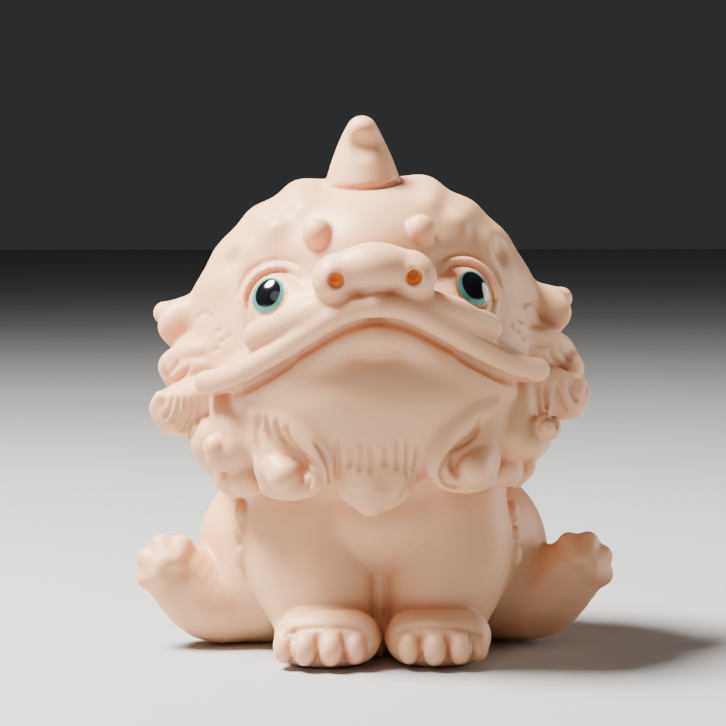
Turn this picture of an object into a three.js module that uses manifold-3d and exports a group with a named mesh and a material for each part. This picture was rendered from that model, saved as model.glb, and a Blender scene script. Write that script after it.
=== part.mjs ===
// A seated foo dog figurine, cast in one piece of unglazed clay.
// Millimetres, +Z up. It faces -Y and stands on its paws and seat at Z = 0.
//
// The figurine is modelled as a potter would: lumps and rolled coils of clay are pressed
// together one after another, and a few hollows are taken out with round tools. Each of
// these forms is a distance to its own surface, and a fillet is left where two forms meet.
import * as THREE from 'three';
import { mergeVertices } from 'three/addons/utils/BufferGeometryUtils.js';
import Module from 'manifold-3d';

// The frame of the head: it is upright about the neck and leans a little to one side.
const NECK_HEIGHT = 25;
const NECK_OFFSET = -0.7;
const HEAD_LEAN = 2;

// Head, measured from the neck
const SKULL_CENTRE = [0, 0.5, 20];
const SKULL_RADII = [26.8, 24.5, 26.7];
const FOREHEAD_CENTRE = [0, -5.5, 29.3];
const FOREHEAD_RADII = [20.8, 16.2, 16];
const CHIN_CENTRE = [0, -12.5, 15.5];
const CHIN_RADII = [20.5, 16.6, 12.5];
const HORN_TIP = [0, -10, 53.2];
const HORN_TIP_RADIUS = 2.35;
const HORN_ROOT_RADIUS = 6;
const EYE_CENTRE = [13.5, -18.6, 28.8];
const EYE_RADIUS = 4.4;
const EYE_LOOK = [0.26, -0.95, 0.16];
const LID_RADIUS = 0.72;
const BRIDGE_CENTRE = [0, -12, 34.5];
const BRIDGE_RADII = [10.5, 11.5, 9];
const LIP_RADIUS = 1.65;
const MOUTH_GAP = 0.7;
const NOSTRIL_SPACING = 5.5;
const NOSTRIL_RADIUS = 1.25;
const EAR_CENTRE = [26.6, 0.4, 25];
const EAR_RADII = [5.2, 2.6, 3.7];

// Body, measured from the ground
const TRUNK_CENTRE = [0, 8, 15];
const TRUNK_RADII = [19, 16.5, 17];
const FORELEG_RADIUS = 9.8;
const ANKLE_RADIUS = 6.7;
const PAW_RADIUS = 4.2;
const TOE_HALF_HEIGHT = 2.5;
const HAUNCH_CENTRE = [16, 8, 12.8];
const HAUNCH_RADII = [11.4, 13.5, 13.6];
const HIND_FOOT_RADIUS = 6.2;
const HIND_TOE_RADIUS = 1.75;

// The grid that the forms are measured on, and how many triangles are left of its surface
const GRID_LOW = [-38.5, -36, -3];
const GRID_HIGH = [38.5, 34, 83];
const GRID_STEP = 0.75;
const TRIANGLES = 9300;
const FAR = 6;
const JUST_INSIDE = -0.02;

// How the surface is thinned: what a long edge costs, how far a triangle may turn and how small it may get
const LENGTH_COST = 1e-5;
const LEAST_TURN = 0.3;
const LEAST_AREA = 1e-3;

// Stretches in a full ring round an eye, and in one turn of a back curl
const RING_STEPS = 24;
const SPIRAL_STEPS = 10;

// The block that the clay is cut off against
const GROUND_WIDTH = 200;
const GROUND_DEPTH = 20;

const SIDES = [-1, 1];
const radians = THREE.MathUtils.degToRad;

// A group of forms that stand on one point and lean about the Y axis
class Place {
  constructor(origin, lean) {
    this.origin = origin;
    this.cos = Math.cos(radians(lean));
    this.sin = Math.sin(radians(lean));
  }

  inside(x, y, z) {
    const dx = x - this.origin[0];
    const dz = z - this.origin[2];
    return [dx * this.cos + dz * this.sin, y - this.origin[1], dz * this.cos - dx * this.sin];
  }

  outside([x, y, z]) {
    return [
      this.origin[0] + x * this.cos - z * this.sin,
      this.origin[1] + y,
      this.origin[2] + x * this.sin + z * this.cos,
    ];
  }
}

const BODY = new Place([0, 0, 0], 0);
const HEAD = new Place([NECK_OFFSET, 0, NECK_HEIGHT], HEAD_LEAN);

// The three axes of a lump that is turned about X, Y or Z (0, 1 or 2)
function tilt(degrees, axis) {
  const axes = [[1, 0, 0], [0, 1, 0], [0, 0, 1]];
  const [c, s] = [Math.cos(radians(degrees)), Math.sin(radians(degrees))];
  const [i, j] = [(axis + 1) % 3, (axis + 2) % 3];
  axes[i][i] = c;
  axes[i][j] = s;
  axes[j][i] = -s;
  axes[j][j] = c;
  return axes;
}

// One lump of clay
function ellipsoid(centre, radii, axes = tilt(0, 0)) {
  const reach = [0, 1, 2].map((k) => Math.hypot(...axes.map((axis, i) => axis[k] * radii[i])));
  const distance = (x, y, z) => {
    const d = [x - centre[0], y - centre[1], z - centre[2]];
    let near = 0;
    let slope = 0;
    for (let i = 0; i < 3; i++) {
      const own = axes[i][0] * d[0] + axes[i][1] * d[1] + axes[i][2] * d[2];
      near += (own / radii[i]) ** 2;
      slope += (own / radii[i] ** 2) ** 2;
    }
    near = Math.sqrt(near);
    return (near * (near - 1)) / Math.max(Math.sqrt(slope), 1e-6);
  };
  return [{ distance, low: centre.map((c, k) => c - reach[k]), high: centre.map((c, k) => c + reach[k]) }];
}

// A straight stretch of a rolled coil, round at both ends
function rod([ax, ay, az, startRadius], [bx, by, bz, endRadius]) {
  const [ux, uy, uz] = [bx - ax, by - ay, bz - az];
  const length = Math.max(ux * ux + uy * uy + uz * uz, 1e-9);
  const widest = Math.max(startRadius, endRadius);
  const distance = (x, y, z) => {
    const [dx, dy, dz] = [x - ax, y - ay, z - az];
    const t = THREE.MathUtils.clamp((dx * ux + dy * uy + dz * uz) / length, 0, 1);
    const gap = Math.sqrt((dx - t * ux) ** 2 + (dy - t * uy) ** 2 + (dz - t * uz) ** 2);
    return gap - (startRadius + t * (endRadius - startRadius));
  };
  return {
    distance,
    low: [Math.min(ax, bx) - widest, Math.min(ay, by) - widest, Math.min(az, bz) - widest],
    high: [Math.max(ax, bx) + widest, Math.max(ay, by) + widest, Math.max(az, bz) + widest],
  };
}

// A smooth curve through the points, with a number of stretches between each two
function smooth(points, steps) {
  const before = points[0].map((v, k) => 2 * v - points[1][k]);
  const after = points.at(-1).map((v, k) => 2 * v - points.at(-2)[k]);
  const all = [before, ...points, after];
  const line = [points[0]];
  for (let n = 1; n < all.length - 2; n++) {
    for (let i = 1; i <= steps; i++) {
      const t = i / steps;
      const [a, b, c, d] = all.slice(n - 1, n + 3);
      line.push(b.map((_, k) => 0.5 * (
        2 * b[k] + (c[k] - a[k]) * t + (2 * a[k] - 5 * b[k] + 4 * c[k] - d[k]) * t * t
        + (3 * b[k] - a[k] - 3 * c[k] + d[k]) * t ** 3)));
    }
  }
  return line;
}

// A rolled coil of clay through the points, with a radius at each
function coil(points, radii, steps = 4) {
  const line = smooth(points.map((p, i) => [...p, radii[i]]), steps);
  return line.slice(1).map((end, i) => rod(line[i], end));
}

// A coil that winds in to its own centre in the plane of two directions
function spiral(centre, across, up, { radius, thick, turns, start, lift }) {
  const out = cross(across, up);
  const steps = Math.round(turns * SPIRAL_STEPS);
  const line = [];
  const radii = [];
  for (let i = 0; i <= steps; i++) {
    const t = i / steps;
    const angle = radians(start) + 2 * Math.PI * turns * t;
    const r = radius * (1 - t) ** 0.9;
    const [c, s] = [r * Math.cos(angle), r * Math.sin(angle)];
    line.push(centre.map((v, k) => v + c * across[k] + s * up[k] + lift * t * out[k]));
    radii.push(thick * (1 - 0.35 * t));
  }
  return coil(line, radii, 1);
}

function cross([ax, ay, az], [bx, by, bz]) {
  return [ay * bz - az * by, az * bx - ax * bz, ax * by - ay * bx];
}

function unit(v) {
  return v.map((c) => c / Math.hypot(...v));
}

function mirrored(points, side) {
  return points.map(([x, y, z]) => [side * x, y, z]);
}

// The distance to the clay's surface at each point of a grid, negative inside
class Clay {
  constructor(low, high, step) {
    this.low = low;
    this.step = step;
    this.count = high.map((h, k) => Math.ceil((h - low[k]) / step) + 1);
    this.field = new Float32Array(this.count[0] * this.count[1] * this.count[2]).fill(FAR);
  }

  index(i, j, k) {
    return (i * this.count[1] + j) * this.count[2] + k;
  }

  // The grid points between two corners, as first and last on each axis
  window(low, high) {
    const first = low.map((v, k) => Math.max(0, Math.floor((v - this.low[k]) / this.step)));
    const last = high.map((v, k) => Math.min(this.count[k] - 1, Math.ceil((v - this.low[k]) / this.step)));
    return [first, last];
  }

  // Calls visit with each grid point of a window
  walk([first, last], visit) {
    for (let i = first[0]; i <= last[0]; i++) {
      for (let j = first[1]; j <= last[1]; j++) {
        for (let k = first[2]; k <= last[2]; k++) visit(i, j, k, this.index(i, j, k));
      }
    }
  }

  // A form's own distances, for the grid points that it and a margin take
  measure(form, margin, place) {
    const found = new Map();
    for (const { distance, low, high } of form) {
      const corners = [];
      for (const x of [low[0], high[0]]) {
        for (const y of [low[1], high[1]]) {
          for (const z of [low[2], high[2]]) corners.push(place.outside([x, y, z]));
        }
      }
      const box = this.window(
        [0, 1, 2].map((k) => Math.min(...corners.map((c) => c[k])) - margin),
        [0, 1, 2].map((k) => Math.max(...corners.map((c) => c[k])) + margin),
      );
      this.walk(box, (i, j, k, n) => {
        const world = [i, j, k].map((v, axis) => this.low[axis] + v * this.step);
        const d = distance(...place.inside(...world));
        if (d < (found.get(n) ?? FAR)) found.set(n, d);
      });
    }
    return found;
  }

  // Adds a form, with a fillet of about the soft size where it meets the clay
  press(form, soft, place) {
    for (const [n, d] of this.measure(form, soft + 3 * this.step, place)) {
      const near = Math.max(soft - Math.abs(this.field[n] - d), 0) / soft;
      this.field[n] = Math.min(this.field[n], d) - (near * near * soft) / 4;
    }
  }

  // Takes a form away, with its edges rounded by about the soft size
  cut(form, soft, place) {
    for (const [n, d] of this.measure(form, soft + 3 * this.step, place)) {
      const near = Math.max(soft - Math.abs(this.field[n] + d), 0) / soft;
      this.field[n] = Math.max(this.field[n], -d) + (near * near * soft) / 4;
    }
  }

  // The eight corners of a cell as indices into the grid
  corners(i, j, k) {
    return CELL_CORNERS.map(([a, b, c]) => this.index(i + a, j + b, k + c));
  }

  // Fills cells where the clay would only touch itself along a line or at a point
  weld() {
    const cells = [[0, 0, 0], this.count.map((n) => n - 2)];
    let filled = true;
    while (filled) {
      filled = false;
      this.walk(cells, (i, j, k) => {
        const at = this.corners(i, j, k);
        const mask = at.reduce((bits, n, c) => bits | (this.field[n] < 0 ? 1 << c : 0), 0);
        if (IS_PLAIN_CELL[mask]) return;
        for (const n of at) this.field[n] = Math.min(this.field[n], JUST_INSIDE);
        filled = true;
      });
    }
  }

  // Fills hollows inside the clay that nothing leads to
  fill() {
    const open = new Uint8Array(this.field.length);
    const waiting = [[0, 0, 0]];
    open[0] = 1;
    while (waiting.length) {
      const at = waiting.pop();
      for (let axis = 0; axis < 3; axis++) {
        for (const way of [-1, 1]) {
          const next = at.map((v, k) => v + (k === axis ? way : 0));
          if (next[axis] < 0 || next[axis] >= this.count[axis]) continue;
          const n = this.index(...next);
          if (open[n] || this.field[n] < 0) continue;
          open[n] = 1;
          waiting.push(next);
        }
      }
    }
    open.forEach((isOpen, n) => {
      if (!isOpen) this.field[n] = Math.min(this.field[n], JUST_INSIDE);
    });
  }

  // The distance at any point, between the grid's own
  sample(p) {
    const base = p.map((v, k) => THREE.MathUtils.clamp(
      Math.floor((v - this.low[k]) / this.step), 0, this.count[k] - 2));
    const t = p.map((v, k) => (v - this.low[k]) / this.step - base[k]);
    let total = 0;
    for (const [a, b, c] of CELL_CORNERS) {
      const weight = (a ? t[0] : 1 - t[0]) * (b ? t[1] : 1 - t[1]) * (c ? t[2] : 1 - t[2]);
      total += weight * this.field[this.index(base[0] + a, base[1] + b, base[2] + c)];
    }
    return total;
  }

  // Moves a point onto the surface
  settle(p) {
    const h = this.step / 2;
    for (let turn = 0; turn < 2; turn++) {
      const slope = [0, 1, 2].map((k) => {
        const ahead = this.sample(p.map((v, axis) => v + (axis === k ? h : 0)));
        const behind = this.sample(p.map((v, axis) => v - (axis === k ? h : 0)));
        return (ahead - behind) / (2 * h);
      });
      const size = Math.max(slope[0] ** 2 + slope[1] ** 2 + slope[2] ** 2, 0.05);
      const value = this.sample(p);
      p = p.map((v, k) => v - (slope[k] * value) / size);
    }
    return p;
  }

  // The surface as points and triangles: one point in each cell that the surface crosses
  surface() {
    this.fill();
    this.weld();
    this.fill();
    const points = [];
    const number = new Map();
    this.walk([[0, 0, 0], this.count.map((n) => n - 2)], (i, j, k, n) => {
      const value = this.corners(i, j, k).map((at) => this.field[at]);
      const hits = [];
      for (const [a, b] of CELL_EDGES) {
        if ((value[a] < 0) === (value[b] < 0)) continue;
        const t = value[a] / (value[a] - value[b]);
        hits.push(CELL_CORNERS[a].map((c, axis) => c + t * (CELL_CORNERS[b][axis] - c)));
      }
      if (!hits.length) return;
      const mean = [0, 1, 2].map((axis) => hits.reduce((sum, h) => sum + h[axis], 0) / hits.length);
      number.set(n, points.length);
      points.push(this.settle([i, j, k].map((v, axis) => this.low[axis] + (v + mean[axis]) * this.step)));
    });
    return { points, triangles: this.facesBetween(number) };
  }

  // Two triangles round each grid line that the surface crosses
  facesBetween(number) {
    const triangles = [];
    const stride = [this.index(1, 0, 0), this.index(0, 1, 0), 1];
    this.walk([[1, 1, 1], this.count.map((n) => n - 2)], (i, j, k, n) => {
      for (let axis = 0; axis < 3; axis++) {
        const here = this.field[n] < 0;
        if (here === (this.field[n + stride[axis]] < 0)) continue;
        const [u, v] = [stride[(axis + 1) % 3], stride[(axis + 2) % 3]];
        const ring = [n - u - v, n - v, n, n - u].map((cell) => number.get(cell));
        if (!here) ring.reverse();
        triangles.push([ring[0], ring[1], ring[2]], [ring[0], ring[2], ring[3]]);
      }
    });
    return triangles;
  }
}

const CELL_CORNERS = [
  [0, 0, 0], [1, 0, 0], [0, 1, 0], [1, 1, 0], [0, 0, 1], [1, 0, 1], [0, 1, 1], [1, 1, 1],
];
const CELL_EDGES = CELL_CORNERS.flatMap((_, a) => [1, 2, 4].filter((bit) => !(a & bit)).map((bit) => [a, a | bit]));
const IS_PLAIN_CELL = Array.from({ length: 256 }, (_, mask) => isOneLump(mask) && isOneLump(255 - mask));

// Whether the chosen corners of a cell hang together along the cell's edges
function isOneLump(mask) {
  if (!mask) return true;
  let reached = mask & -mask;
  for (let turn = 0; turn < 8; turn++) {
    for (const [a, b] of CELL_EDGES) {
      if (reached & ((1 << a) | (1 << b))) reached |= mask & ((1 << a) | (1 << b));
    }
  }
  return reached === mask;
}

// Skull, with a fuller forehead and cheeks
function skull(clay) {
  clay.press(ellipsoid(SKULL_CENTRE, SKULL_RADII), 1, HEAD);
  clay.press(ellipsoid(FOREHEAD_CENTRE, FOREHEAD_RADII), 4, HEAD);
  clay.press(ellipsoid([0, 2, 10], [24.5, 21, 12]), 6, HEAD);
  clay.press(ellipsoid([0, -9, 20], [22.5, 15, 13]), 4, HEAD);
}

// Soft tufts that run from the brow over the edge of the skull
function brow(clay) {
  const tufts = [
    { line: [[9.2, -14.2, 42], [9.6, -10, 43.2], [9.2, -5, 43.8]], radius: 1.9 },
    { line: [[13.2, -14.8, 39], [14.6, -9, 40], [15, -3, 39.8]], radius: 2 },
    { line: [[17, -12, 35.6], [18.8, -6, 35.8], [19.9, 0, 34.6]], radius: 2 },
    { line: [[20.2, -8.6, 31], [22, -3, 30.4], [23.2, 1, 29.2]], radius: 2 },
  ];
  const dents = [[13.9, -18.9, 39.4], [20.6, -11.9, 35.2]];
  for (const side of SIDES) {
    for (const { line, radius } of tufts) {
      clay.press(coil(mirrored(line, side), [0.45 * radius, 0.9 * radius, radius]), 4.2, HEAD);
    }
    for (const dent of mirrored(dents, side)) clay.cut(ellipsoid(dent, [1.2, 1.2, 1]), 2.5, HEAD);
  }
}

// Eyeballs in shallow sockets, each with a lid that runs all the way round
function eyes(clay) {
  for (const side of SIDES) {
    const look = unit([side * EYE_LOOK[0], EYE_LOOK[1], EYE_LOOK[2]]);
    const across = unit(cross([0, 0, 1], look));
    const up = cross(look, across);
    const rim = [side * EYE_CENTRE[0], EYE_CENTRE[1], EYE_CENTRE[2]];
    const ahead = (length) => rim.map((c, k) => c + length * look[k]);
    const socket = ahead(3.2);
    clay.cut(ellipsoid([socket[0] + side * 0.6, socket[1], socket[2] + 1], [6.9, 4, 6.5]), 3, HEAD);
    const ring = (radius, length) => Array.from({ length: RING_STEPS + 1 }, (_, i) => {
      const angle = (2 * Math.PI * i) / RING_STEPS;
      return ahead(length).map((c, k) => c + radius * (Math.cos(angle) * across[k] + Math.sin(angle) * up[k]));
    });
    const even = (radius) => new Array(RING_STEPS + 1).fill(radius);
    clay.press(coil(ring(1.13 * EYE_RADIUS, 0), even(LID_RADIUS), 1), 1.1, HEAD);
    clay.cut(coil(ring(EYE_RADIUS, 0.5), even(0.4), 1), 0.3, HEAD);
    const ball = 1.06 * EYE_RADIUS;
    clay.press(ellipsoid(ahead(-1.8), [ball, ball, ball]), 0.25, HEAD);
  }
}

// Chin, with the rim of the lower lip along its top
function chin(clay) {
  clay.press(ellipsoid(CHIN_CENTRE, CHIN_RADII, tilt(8, 0)), 3, HEAD);
  clay.press(ellipsoid([0, -12.5, 9], [17.5, 14, 8.5]), 3, HEAD);
  const rim = [[0, -27.9, 24], [4.4, -27.4, 23.1], [9.2, -25, 20.2], [14.2, -21.6, 16.9], [18.6, -18, 14.4]];
  for (const side of SIDES) {
    clay.press(coil(mirrored(rim, side), [1.7, 1.7, 1.6, 1.4, 1.2]), 3, HEAD);
    clay.press(ellipsoid([side * 14, -14, 9], [6.5, 9.4, 6]), 2.5, HEAD);
  }
}

// Muzzle pads, from under the nose to the cheeks
function muzzle(clay) {
  clay.press(ellipsoid([0, -15, 25.5], [17, 12.5, 6.5], tilt(-14, 0)), 3, HEAD);
  const pad = [[3.5, -28.2, 28.4], [8.5, -26.9, 27.3], [12.8, -24.1, 25.8], [16.6, -20.9, 24]];
  for (const side of SIDES) clay.press(coil(mirrored(pad, side), [2.6, 2.6, 2.5, 2.2]), 0.9, HEAD);
}

// The wide frowning lip, and the gap that parts it from the chin
function lip(clay) {
  const edge = [
    [0, -30.9, 28.4], [4.4, -30.2, 27.5], [9.2, -27.8, 24.8], [14.2, -24.4, 21.5],
    [19.2, -20.6, 18.7], [22.4, -17.8, 17.5], [24.3, -16.2, 17.3],
  ];
  const web = [[6, -26.5, 26.5], [12.5, -23, 23], [18, -18.4, 19.8], [22, -15, 18]];
  const setBack = [1.3, 1.3, 1, 0.6, 0.4];
  const gap = setBack.map((back, n) => [edge[n][0], edge[n][1] + back, edge[n][2] - 2.3]);
  const radii = [1, 1, 1, 1.03, 1.15, 1.18, 1.1].map((share) => share * LIP_RADIUS);
  const widths = [1, 1, 0.85, 0.5, 0.2].map((share) => share * MOUTH_GAP);
  for (const side of SIDES) {
    clay.press(coil(mirrored(web, side), [2.4, 2, 1.8, 1.2]), 1.2, HEAD);
    clay.press(coil(mirrored(edge, side), radii), 0.8, HEAD);
  }
  for (const side of SIDES) clay.cut(coil(mirrored(gap, side), widths), 0.4, HEAD);
}

// The broad bridge of the nose and the two beads of clay over it
function bridge(clay) {
  clay.press(ellipsoid(BRIDGE_CENTRE, BRIDGE_RADII), 4, HEAD);
  for (const side of SIDES) clay.press(ellipsoid([side * 7.5, -20, 38.5], [2.2, 2, 2.3]), 0.4, HEAD);
}

// A broad flat nose with two round nostrils
function nose(clay) {
  clay.press(ellipsoid([0, -29.3, 33.5], [5.2, 3.9, 3.6]), 0.8, HEAD);
  clay.press(coil([[-5, -29, 32.9], [0, -29.4, 33.6], [5, -29, 32.9]], [3, 3.2, 3]), 0.8, HEAD);
  for (const side of SIDES) clay.press(ellipsoid([side * 5.9, -29.2, 32], [3, 3.3, 2.9]), 1.2, HEAD);
  for (const side of SIDES) {
    const hole = [[side * NOSTRIL_SPACING, -34.5, 31.8], [side * NOSTRIL_SPACING, -29.5, 32.3]];
    clay.cut(coil(hole, [NOSTRIL_RADIUS, 0.8 * NOSTRIL_RADIUS]), 0.5, HEAD);
  }
}

// Plump leaf-shaped ears that point out to the sides
function ears(clay) {
  const top = [[21.5, -3, 26.6], [26.6, 0.4, 26.9], [30.4, 2.6, 26.9]];
  for (const side of SIDES) {
    const [x, y, z] = EAR_CENTRE;
    clay.press(ellipsoid([side * x, y, z], EAR_RADII, tilt(-24 * side, 2)), 1.6, HEAD);
    clay.press(coil(mirrored(top, side), [1.9, 2, 1.75]), 2, HEAD);
  }
}

// The stub horn on its low ring, hollowed under a tip that hooks forward
function horn(clay) {
  clay.press(ellipsoid([0, -8.5, 45.2], [6.2, 6, 1.5], tilt(20, 0)), 0.6, HEAD);
  const core = [[0, -8, 43.5], [0, -8, 47.2], [0, -8.4, 51], HORN_TIP];
  clay.press(coil(core, [HORN_ROOT_RADIUS, 4.9, 3.4, HORN_TIP_RADIUS]), 0.5, HEAD);
  clay.cut(ellipsoid([-0.2, -14.4, 51.2], [2.6, 3, 2]), 1.4, HEAD);
}

// A short flat beard that comes out of the chin and narrows to a blunt tip
function beard(clay) {
  clay.press(ellipsoid([-0.3, -22.6, 5.6], [6.6, 4, 6.6], tilt(10, 0)), 2.4, HEAD);
  clay.press(ellipsoid([-0.6, -24.3, 2.6], [5.6, 2.6, 4.4], tilt(6, 0)), 1.2, HEAD);
  clay.press(coil([[-1.2, -24.8, 1], [-1.5, -25, -0.6]], [2.4, 1.6]), 1.5, HEAD);
}

// Rows of plain curls round the sides and back of the head
function backCurls(clay) {
  const rows = [
    { z: 20.5, halfWidth: 23, halfDepth: 21.5, radius: 5.2, angles: [14, 40, 66, 90] },
    { z: 11.5, halfWidth: 23, halfDepth: 21, radius: 5.2, angles: [2, 27, 53, 78] },
    { z: 3, halfWidth: 19, halfDepth: 17.5, radius: 4.6, angles: [14, 40, 66, 90] },
  ];
  for (const row of rows) {
    for (const side of SIDES) {
      for (const angle of row.angles) {
        if (angle === 90 && side < 0) continue;
        backCurl(clay, row, angle, side);
      }
    }
  }
}

// One curl: a lobe with a coil that winds in on top of it
function backCurl(clay, { z, halfWidth, halfDepth, radius }, angle, side) {
  const [c, s] = [Math.cos(radians(angle)), Math.sin(radians(angle))];
  const out = unit([(side * c) / halfWidth, s / halfDepth, 0]);
  const centre = [side * halfWidth * c, 2 + halfDepth * s, z];
  const along = (length) => centre.map((v, k) => v + length * out[k]);
  clay.press(ellipsoid(along(-1), [radius, radius, radius]), 1, HEAD);
  const across = unit(cross([0, 0, 1], out));
  const winding = { radius: 0.62 * radius, thick: 1.5, turns: 1.3, start: 200, lift: 1.6 };
  clay.press(spiral(along(2.6), across, [0, 0, 1], winding), 0.3, HEAD);
}

// The locks of the mane that frame the chin
function locks(clay) {
  for (const side of SIDES) {
    const roll = (points, radii, soft = 0.6) => clay.press(coil(mirrored(points, side), radii), soft, HEAD);
    const lump = ([x, y, z], radii, soft) => clay.press(ellipsoid([side * x, y, z], radii), soft, HEAD);

    // The lock behind the foot of the ear
    lump([26, -3.5, 19.2], [4.4, 5.5, 3.9], 2);
    roll([[23, -10.5, 22], [27.5, -6.5, 21], [30, -3.4, 19.3], [29.6, -3.6, 17.2]], [1.5, 1.7, 1.6, 1.3]);
    roll([[23.5, -11, 19.8], [27, -8, 19], [29, -6, 18.3]], [1.2, 1.3, 1]);
    if (side > 0) lump([30.2, -4, 16.6], [2.6, 3.4, 2.6], 1.2);

    // The lock that fans out from the corner of the lip
    roll([[24.2, -11.2, 15.4], [26.8, -9, 14], [28.5, -7.4, 12.8]], [2.6, 3.4, 3.9], 1.5);
    roll([[30.6, -8, 10.6], [32, -8, 13], [31.2, -9, 14.8]], [1.2, 1.1, 1.1], 0.8);
    clay.cut(ellipsoid([side * 31, -11.6, 14], [0.8, 1.4, 1]), 0.5, HEAD);

    // The thick lock under the corner of the lip, with a nub that turns out
    lump([23.6, -9, 8.4], [3.8, 6, 4.6], 1.2);
    roll([[21.2, -12.6, 14.6], [20.4, -15, 11], [19.8, -16, 8]], [2.8, 3.6, 3.9], 1);
    roll([[20.4, -16.6, 7], [22.6, -17, 6.6]], [2.9, 2.4], 0.4);
    const nub = 2 + 0.15 * side;
    lump([24.3 + 0.9 * side, -17.6, 8.5 + 0.5 * side], [nub, nub, nub], 0.3);

    // The lock beside the beard, rolled round a ball
    lump([12.8, -21.3, 5.4], [5.2, 3.4, 5.2], 1);
    const sweep = [
      [17.5, -21, 13], [12.8, -23.6, 11.4], [9.2, -25, 8.2], [8.2, -25, 4.8],
      [9.6, -24.2, 2.6], [12.8, -23.4, 1.7], [16.2, -21.6, 1.9],
    ];
    roll(sweep, [0.8, 1.7, 1.9, 1.8, 1.6, 1.4, 0.9], 1.2);
    roll([[14.6, -22.8, 5.2], [13.7, -24.3, 4]], [2.4, 2.5], 0.3);

    // The smaller locks below and behind
    lump([18.6, -15.6, 2.9], [3.2, 3.4, 2.9], 0.8);
    roll([[22, -13.5, 5.6], [22.6, -13.5, 2.8], [20.8, -14.4, 0.9]], [1.4, 1.3, 1.1]);
    lump([17.5, -4, 6.5], [8.6, 11, 6.6], 2.5);
  }
}

// Chest and trunk
function trunk(clay) {
  clay.press(ellipsoid([0, -5, 21], [18.5, 12.8, 11]), 1, BODY);
  clay.press(ellipsoid(TRUNK_CENTRE, TRUNK_RADII), 5, BODY);
}

// Stout forelegs that meet in a cleft, with three small tufts behind each
function forelegs(clay) {
  const line = [[9.7, -7, 22], [9.9, -8, 15], [8.9, -10.6, 9.5], [8.1, -12.8, 5.6]];
  const radii = [FORELEG_RADIUS, 1.03 * FORELEG_RADIUS, 0.87 * FORELEG_RADIUS, ANKLE_RADIUS];
  const tufts = [
    { centre: [20.3, -5.2, 20.9], half: 1.8 },
    { centre: [20.5, -5.8, 17.8], half: 1.2 },
    { centre: [20.5, -7, 14.6], half: 1.9 },
  ];
  for (const side of SIDES) {
    clay.press(coil(mirrored(line, side), radii), 0.6, BODY);
    clay.press(ellipsoid([side * 17, -1.5, 13], [5, 6, 10]), 3, BODY);
    for (const { centre: [x, y, z], half } of tufts) {
      clay.press(ellipsoid([side * x, y, z], [1.3, 1.6, half]), 0.4, BODY);
    }
  }
  clay.press(ellipsoid([0, -9.5, 8], [1.6, 4.8, 9.5]), 0.8, BODY);
}

// Front paws, each with a row of four round toes
function paws(clay) {
  const knuckles = [[4.3, -19.8, 4.3], [8.2, -20.6, 4.3], [11.9, -19.6, 4.3]];
  const toes = [
    { x: 3.6, y: -22.9, radius: 1.75 },
    { x: 7.2, y: -24.1, radius: 1.9 },
    { x: 10.9, y: -23.5, radius: 1.9 },
    { x: 13.8, y: -21.3, radius: 1.6 },
  ];
  for (const side of SIDES) {
    clay.press(coil(mirrored(knuckles, side), [4, PAW_RADIUS, 4]), 1, BODY);
    clay.press(ellipsoid([side * 8.2, -15, 3.6], [7.4, 7, 4.6]), 1.5, BODY);
    const outward = side < 0 ? 0.7 : 0;
    for (const { x, y, radius } of toes) {
      clay.press(ellipsoid([side * (x + outward), y, 3.3], [radius, 2.6, TOE_HALF_HEIGHT]), 0.2, BODY);
    }
  }
}

// Round haunches
function haunches(clay) {
  const [x, y, z] = HAUNCH_CENTRE;
  for (const side of SIDES) clay.press(ellipsoid([side * x, y, z], HAUNCH_RADII), 2, BODY);
}

// Hind feet that splay out with their soles to the front, each with four toes and a pad
function feet(clay) {
  const line = [[18, 3.5, 7.5], [25.2, 1.2, 6.9], [30.9, 0, 11.8]];
  const toes = [[29.6, 15.6], [32.5, 15.7], [34.6, 13.6], [34.7, 10.8]];
  const ball = [31.3, 12];
  for (const side of SIDES) {
    clay.press(coil(mirrored(line, side), [7, HIND_FOOT_RADIUS, 5]), 2, BODY);
    clay.cut(ellipsoid([side * 28.6, -9.2, 9.4], [8, 4.6, 4.6], tilt(-45 * side, 1)), 1.5, BODY);
    clay.press(ellipsoid([side * 27.6, -4, 8], [4.4, 1.2, 1.9], tilt(-45 * side, 1)), 0.8, BODY);
    for (const [x, z] of toes) {
      const root = [ball[0] + 0.45 * (x - ball[0]), -4, ball[1] + 0.45 * (z - ball[1])];
      const radii = [HIND_TOE_RADIUS, 0.75 * HIND_TOE_RADIUS];
      clay.press(coil(mirrored([[x, -1.6, z], root], side), radii), 0.9, BODY);
    }
  }
}

// A plain tail of three strands that lies up the back
function tail(clay) {
  clay.press(coil([[0, 22, 4], [0, 25, 10], [0, 24, 17]], [4.2, 4.6, 2.2]), 1.5, BODY);
  for (const side of SIDES) {
    const strand = [[2, 23, 6], [5.5, 24, 10], [6.5, 22.5, 14.5]];
    clay.press(coil(mirrored(strand, side), [3.2, 3.2, 1.6]), 0.6, BODY);
  }
}

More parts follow.
